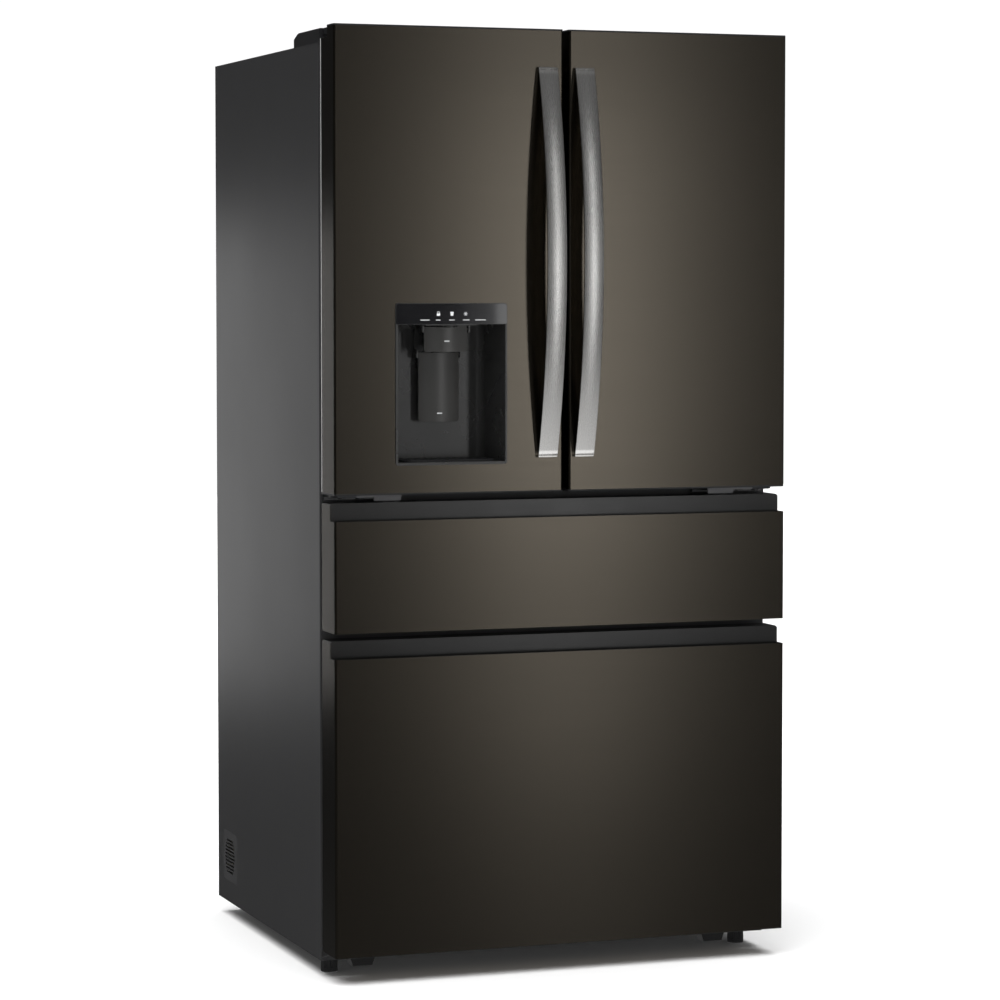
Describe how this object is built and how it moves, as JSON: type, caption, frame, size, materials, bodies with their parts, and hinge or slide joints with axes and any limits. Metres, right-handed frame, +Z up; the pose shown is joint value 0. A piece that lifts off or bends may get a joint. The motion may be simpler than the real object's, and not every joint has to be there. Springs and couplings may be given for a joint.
{
  "type": "french door refrigerator",
  "caption": "French door refrigerator with bowed handles, a water and ice dispenser in the left door and two full-width drawers with recessed grips.",
  "frame": {"origin": "middle of the bounding box on the floor", "axes": "+X to the right seen from the front, +Y from the doors to the back, +Z up"},
  "size_m": [0.906, 0.8905, 1.778],
  "materials": {
    "black_stainless": "satin",
    "satin_steel": "satin",
    "cabinet_paint": "satin",
    "black_paint": "matte",
    "compressor_paint": "gloss",
    "galvanised_steel": "matte",
    "rail_steel": "satin",
    "hinge_steel": "satin",
    "insulation": "matte",
    "white_liner": "satin",
    "shelf_trim": "satin",
    "shelf_glass": "gloss",
    "clear_plastic": "gloss",
    "drawer_plastic": "satin",
    "white_plastic": "matte",
    "black_plastic": "satin",
    "vent_plastic": "matte",
    "grip_plastic": "satin",
    "grey_gasket": "matte",
    "dispenser_plastic": "satin",
    "paddle_plastic": "satin",
    "black_glass": "gloss",
    "roller_plastic": "matte"
  },
  "bodies": {
    "cabinet": {"cabinet_wrap": "cabinet_paint", "side_vent": "vent_plastic", "back_panel": "galvanised_steel", "machine_cover": "galvanised_steel", "base_frame": "black_paint", "front_rails": "cabinet_paint", "cabinet_foam": "insulation", "fresh_food_liner": "white_liner", "pantry_liner": "white_liner", "freezer_liner": "white_liner", "air_duct_panel": "white_liner", "shelf_frames": "shelf_trim", "glass_shelves": "shelf_glass", "rail_channels": "rail_steel", "door_hinges": "hinge_steel", "hinge_covers": "black_plastic", "roller_brackets": "black_paint", "compressor": "compressor_paint", "water_valve": "white_plastic"},
    "left_door": {"left_door_skin": "black_stainless", "left_door_caps": "black_plastic", "left_door_foam": "insulation", "left_door_liner": "white_liner", "left_door_gasket": "grey_gasket", "left_handle": "satin_steel", "left_door_bins": "clear_plastic", "ice_bin": "clear_plastic", "dispenser_housing": "dispenser_plastic", "dispenser_panel": "black_glass", "dispenser_chute": "dispenser_plastic", "drip_tray": "black_plastic"},
    "right_door": {"right_door_skin": "black_stainless", "right_door_caps": "black_plastic", "right_door_foam": "insulation", "right_door_liner": "white_liner", "right_door_gasket": "grey_gasket", "right_handle": "satin_steel", "right_door_bins": "clear_plastic"},
    "mullion": {"flipper_mullion": "black_plastic"},
    "water_paddle": {"water_paddle": "paddle_plastic"},
    "ice_paddle": {"ice_paddle": "paddle_plastic"},
    "pantry_drawer": {"pantry_skin": "black_stainless", "pantry_core": "insulation", "pantry_grip": "grip_plastic", "pantry_gasket": "grey_gasket", "pantry_bin": "drawer_plastic"},
    "pantry_slides": {"pantry_rails": "rail_steel"},
    "freezer_drawer": {"freezer_skin": "black_stainless", "freezer_core": "insulation", "freezer_grip": "grip_plastic", "freezer_gasket": "grey_gasket", "freezer_basket": "drawer_plastic"},
    "freezer_slides": {"freezer_rails": "rail_steel"},
    "freezer_tray": {"freezer_tray": "drawer_plastic"},
    "crisper_left": {"crisper_left": "clear_plastic"},
    "crisper_right": {"crisper_right": "clear_plastic"},
    "foot_left": {"foot_left": "black_plastic"},
    "foot_right": {"foot_right": "black_plastic"},
    "rear_rollers": {"rear_rollers": "roller_plastic"}
  },
  "joints": [
    {"name": "left_door_hinge", "type": "hinge", "parent": "cabinet", "child": "left_door", "pos_m": [-0.435, -0.32575, 0.92], "axis": [0, 0, -1], "range_deg": [0, 115]},
    {"name": "right_door_hinge", "type": "hinge", "parent": "cabinet", "child": "right_door", "pos_m": [0.435, -0.32575, 0.92], "axis": [0, 0, 1], "range_deg": [0, 115]},
    {"name": "mullion_fold", "type": "hinge", "parent": "left_door", "child": "mullion", "pos_m": [-0.034, -0.28125, 1.32], "axis": [0, 0, 1], "range_deg": [0, 90]},
    {"name": "water_paddle_push", "type": "hinge", "parent": "left_door", "child": "water_paddle", "pos_m": [-0.2247, -0.34875, 1.2185], "axis": [1, 0, 0], "range_deg": [0, 8], "stiffness_Nm_per_rad": 0.15, "springref_deg": -8.59},
    {"name": "ice_paddle_push", "type": "hinge", "parent": "left_door", "child": "ice_paddle", "pos_m": [-0.2247, -0.30675, 1.17], "axis": [1, 0, 0], "range_deg": [0, 6], "stiffness_Nm_per_rad": 0.4, "springref_deg": -8.59},
    {"name": "pantry_slide", "type": "slide", "parent": "cabinet", "child": "pantry_drawer", "axis": [0, -1, 0], "range_m": [0, 0.35]},
    {"name": "pantry_mid_slide", "type": "slide", "parent": "cabinet", "child": "pantry_slides", "axis": [0, -1, 0], "range_m": [0, 0.175]},
    {"name": "freezer_slide", "type": "slide", "parent": "cabinet", "child": "freezer_drawer", "axis": [0, -1, 0], "range_m": [0, 0.45]},
    {"name": "freezer_mid_slide", "type": "slide", "parent": "cabinet", "child": "freezer_slides", "axis": [0, -1, 0], "range_m": [0, 0.225]},
    {"name": "freezer_tray_slide", "type": "slide", "parent": "freezer_drawer", "child": "freezer_tray", "axis": [0, 1, 0], "range_m": [0, 0.15]},
    {"name": "crisper_left_slide", "type": "slide", "parent": "cabinet", "child": "crisper_left", "axis": [0, -1, 0], "range_m": [0, 0.1]},
    {"name": "crisper_right_slide", "type": "slide", "parent": "cabinet", "child": "crisper_right", "axis": [0, -1, 0], "range_m": [0, 0.1]},
    {"name": "foot_left_screw", "type": "slide", "parent": "cabinet", "child": "foot_left", "axis": [0, 0, 1], "range_m": [-0.015, 0]},
    {"name": "foot_right_screw", "type": "slide", "parent": "cabinet", "child": "foot_right", "axis": [0, 0, 1], "range_m": [-0.015, 0]},
    {"name": "roller_spin", "type": "hinge", "parent": "cabinet", "child": "rear_rollers", "pos_m": [0, 0.39675, 0.018], "axis": [1, 0, 0], "continuous": true}
  ],
  "couplings": [
    {"joint": "pantry_mid_slide", "follows": "pantry_slide", "ratio": 0.5},
    {"joint": "freezer_mid_slide", "follows": "freezer_slide", "ratio": 0.5}
  ]
}
